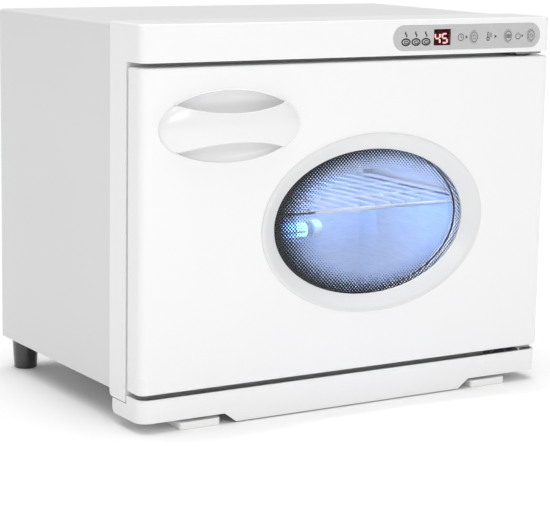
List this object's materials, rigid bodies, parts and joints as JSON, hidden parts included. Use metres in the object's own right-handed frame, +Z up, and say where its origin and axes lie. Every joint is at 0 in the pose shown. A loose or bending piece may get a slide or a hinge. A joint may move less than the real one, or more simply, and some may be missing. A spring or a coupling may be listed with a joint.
{
  "type": "hot towel cabinet",
  "caption": "Countertop hot towel cabinet: white steel case, hinged door with an oval window and bar grip, wire shelf, lamp, heated chamber, push-button panel and pull-out drip tray.",
  "frame": {"origin": "on the surface the cabinet stands on, below the centre of its bounding box", "axes": "+X to the right seen from the front, -Y out of the door's front, +Z up"},
  "size_m": [0.45, 0.3172, 0.362],
  "materials": {
    "case_paint": "semi-gloss powder coat",
    "panel_steel": "satin powder coat",
    "white_plastic": "gloss",
    "handle_plastic": "high gloss",
    "foot_plastic": "fine texture",
    "black_rubber": "smooth moulded",
    "seal_rubber": "matt",
    "bright_liner": "bright rolled sheet",
    "insulation": "glass fibre mat",
    "foam": "closed cell foam",
    "aluminium_plate": "mill finish",
    "silicone_heater": "matt silicone",
    "sensor_metal": "bare",
    "stainless_wire": "electropolished",
    "rail_metal": "satin",
    "lamp_glass": "glowing blue",
    "lamp_cap_metal": "spun",
    "white_ceramic": "lamp holder",
    "ballast_case": "moulded",
    "silver_panel": "satin silver film",
    "smoked_pane": "smoked red-black",
    "digit_red": "lit",
    "black_plastic": "moulded",
    "button_plastic": "satin silver",
    "circuit_board": "solder mask",
    "wire_sheath": "pvc sheath",
    "brass_pin": "plated",
    "screw_steel": "zinc plated",
    "door_sheet": "gloss enamel",
    "magnet": "ferrite",
    "window_glass": "clear with a black printed dot border",
    "inner_glass": "clear",
    "spacer_rubber": "pale silicone",
    "hinge_steel": "zinc plated",
    "pin_steel": "ground",
    "nylon": "natural"
  },
  "bodies": {
    "cabinet": {"outer_case": "case_paint", "rear_panel": "panel_steel", "base_plate": "panel_steel", "front_frame": "white_plastic", "front_feet": "foot_plastic", "rear_feet": "black_rubber", "foot_screws": "screw_steel", "chamber_liner": "bright_liner", "insulation_jacket": "insulation", "heat_spreader": "aluminium_plate", "heating_element": "silicone_heater", "thermostat": "sensor_metal", "thermal_cutout": "sensor_metal", "temperature_sensor": "sensor_metal", "shelf_rails": "rail_metal", "lamp_tube": "lamp_glass", "lamp_caps": "lamp_cap_metal", "lamp_holders": "white_ceramic", "lamp_guard": "stainless_wire", "lamp_ballast": "ballast_case", "control_panel": "silver_panel", "display_window": "smoked_pane", "display_digits": "digit_red", "display_module": "black_plastic", "tact_switches": "black_plastic", "control_board": "circuit_board", "power_board": "circuit_board", "wiring_loom": "wire_sheath", "mains_inlet": "black_plastic", "inlet_pins": "brass_pin", "inlet_screws": "screw_steel", "rear_panel_screws": "screw_steel", "door_magnet": "magnet", "top_hinge_bracket": "hinge_steel", "bottom_hinge_bracket": "hinge_steel", "top_hinge_pin": "pin_steel", "bottom_hinge_pin": "pin_steel", "hinge_screws": "screw_steel"},
    "door": {"door_shell": "white_plastic", "door_inner_panel": "door_sheet", "door_insulation": "foam", "door_seal": "seal_rubber", "door_screws": "screw_steel", "strike_plate": "hinge_steel", "window_bezel": "white_plastic", "outer_pane": "window_glass", "inner_pane": "inner_glass", "window_spacer": "spacer_rubber", "handle_dish": "handle_plastic", "handle_grip": "handle_plastic", "door_bushes": "nylon"},
    "drip_tray": {"drip_tray": "white_plastic"},
    "shelf": {"wire_shelf": "stainless_wire"},
    "time_button": {"time_button": "button_plastic"},
    "temperature_button": {"temperature_button": "button_plastic"},
    "power_button": {"power_button": "button_plastic"}
  },
  "joints": [
    {"name": "door_hinge", "type": "hinge", "parent": "cabinet", "child": "door", "pos_m": [0.2125, -0.1311, 0.18], "axis": [0, 0, 1], "range_deg": [0, 115]},
    {"name": "drip_tray_slide", "type": "slide", "parent": "cabinet", "child": "drip_tray", "axis": [0, -1, 0], "range_m": [0, 0.055]},
    {"name": "shelf_slide", "type": "slide", "parent": "cabinet", "child": "shelf", "axis": [0, -1, 0], "range_m": [0, 0.022]},
    {"name": "time_button_press", "type": "slide", "parent": "cabinet", "child": "time_button", "axis": [0, 1, 0], "range_m": [0, 0.0006], "stiffness_N_per_m": 900},
    {"name": "temperature_button_press", "type": "slide", "parent": "cabinet", "child": "temperature_button", "axis": [0, 1, 0], "range_m": [0, 0.0006], "stiffness_N_per_m": 900},
    {"name": "power_button_press", "type": "slide", "parent": "cabinet", "child": "power_button", "axis": [0, 1, 0], "range_m": [0, 0.0006], "stiffness_N_per_m": 900}
  ]
}
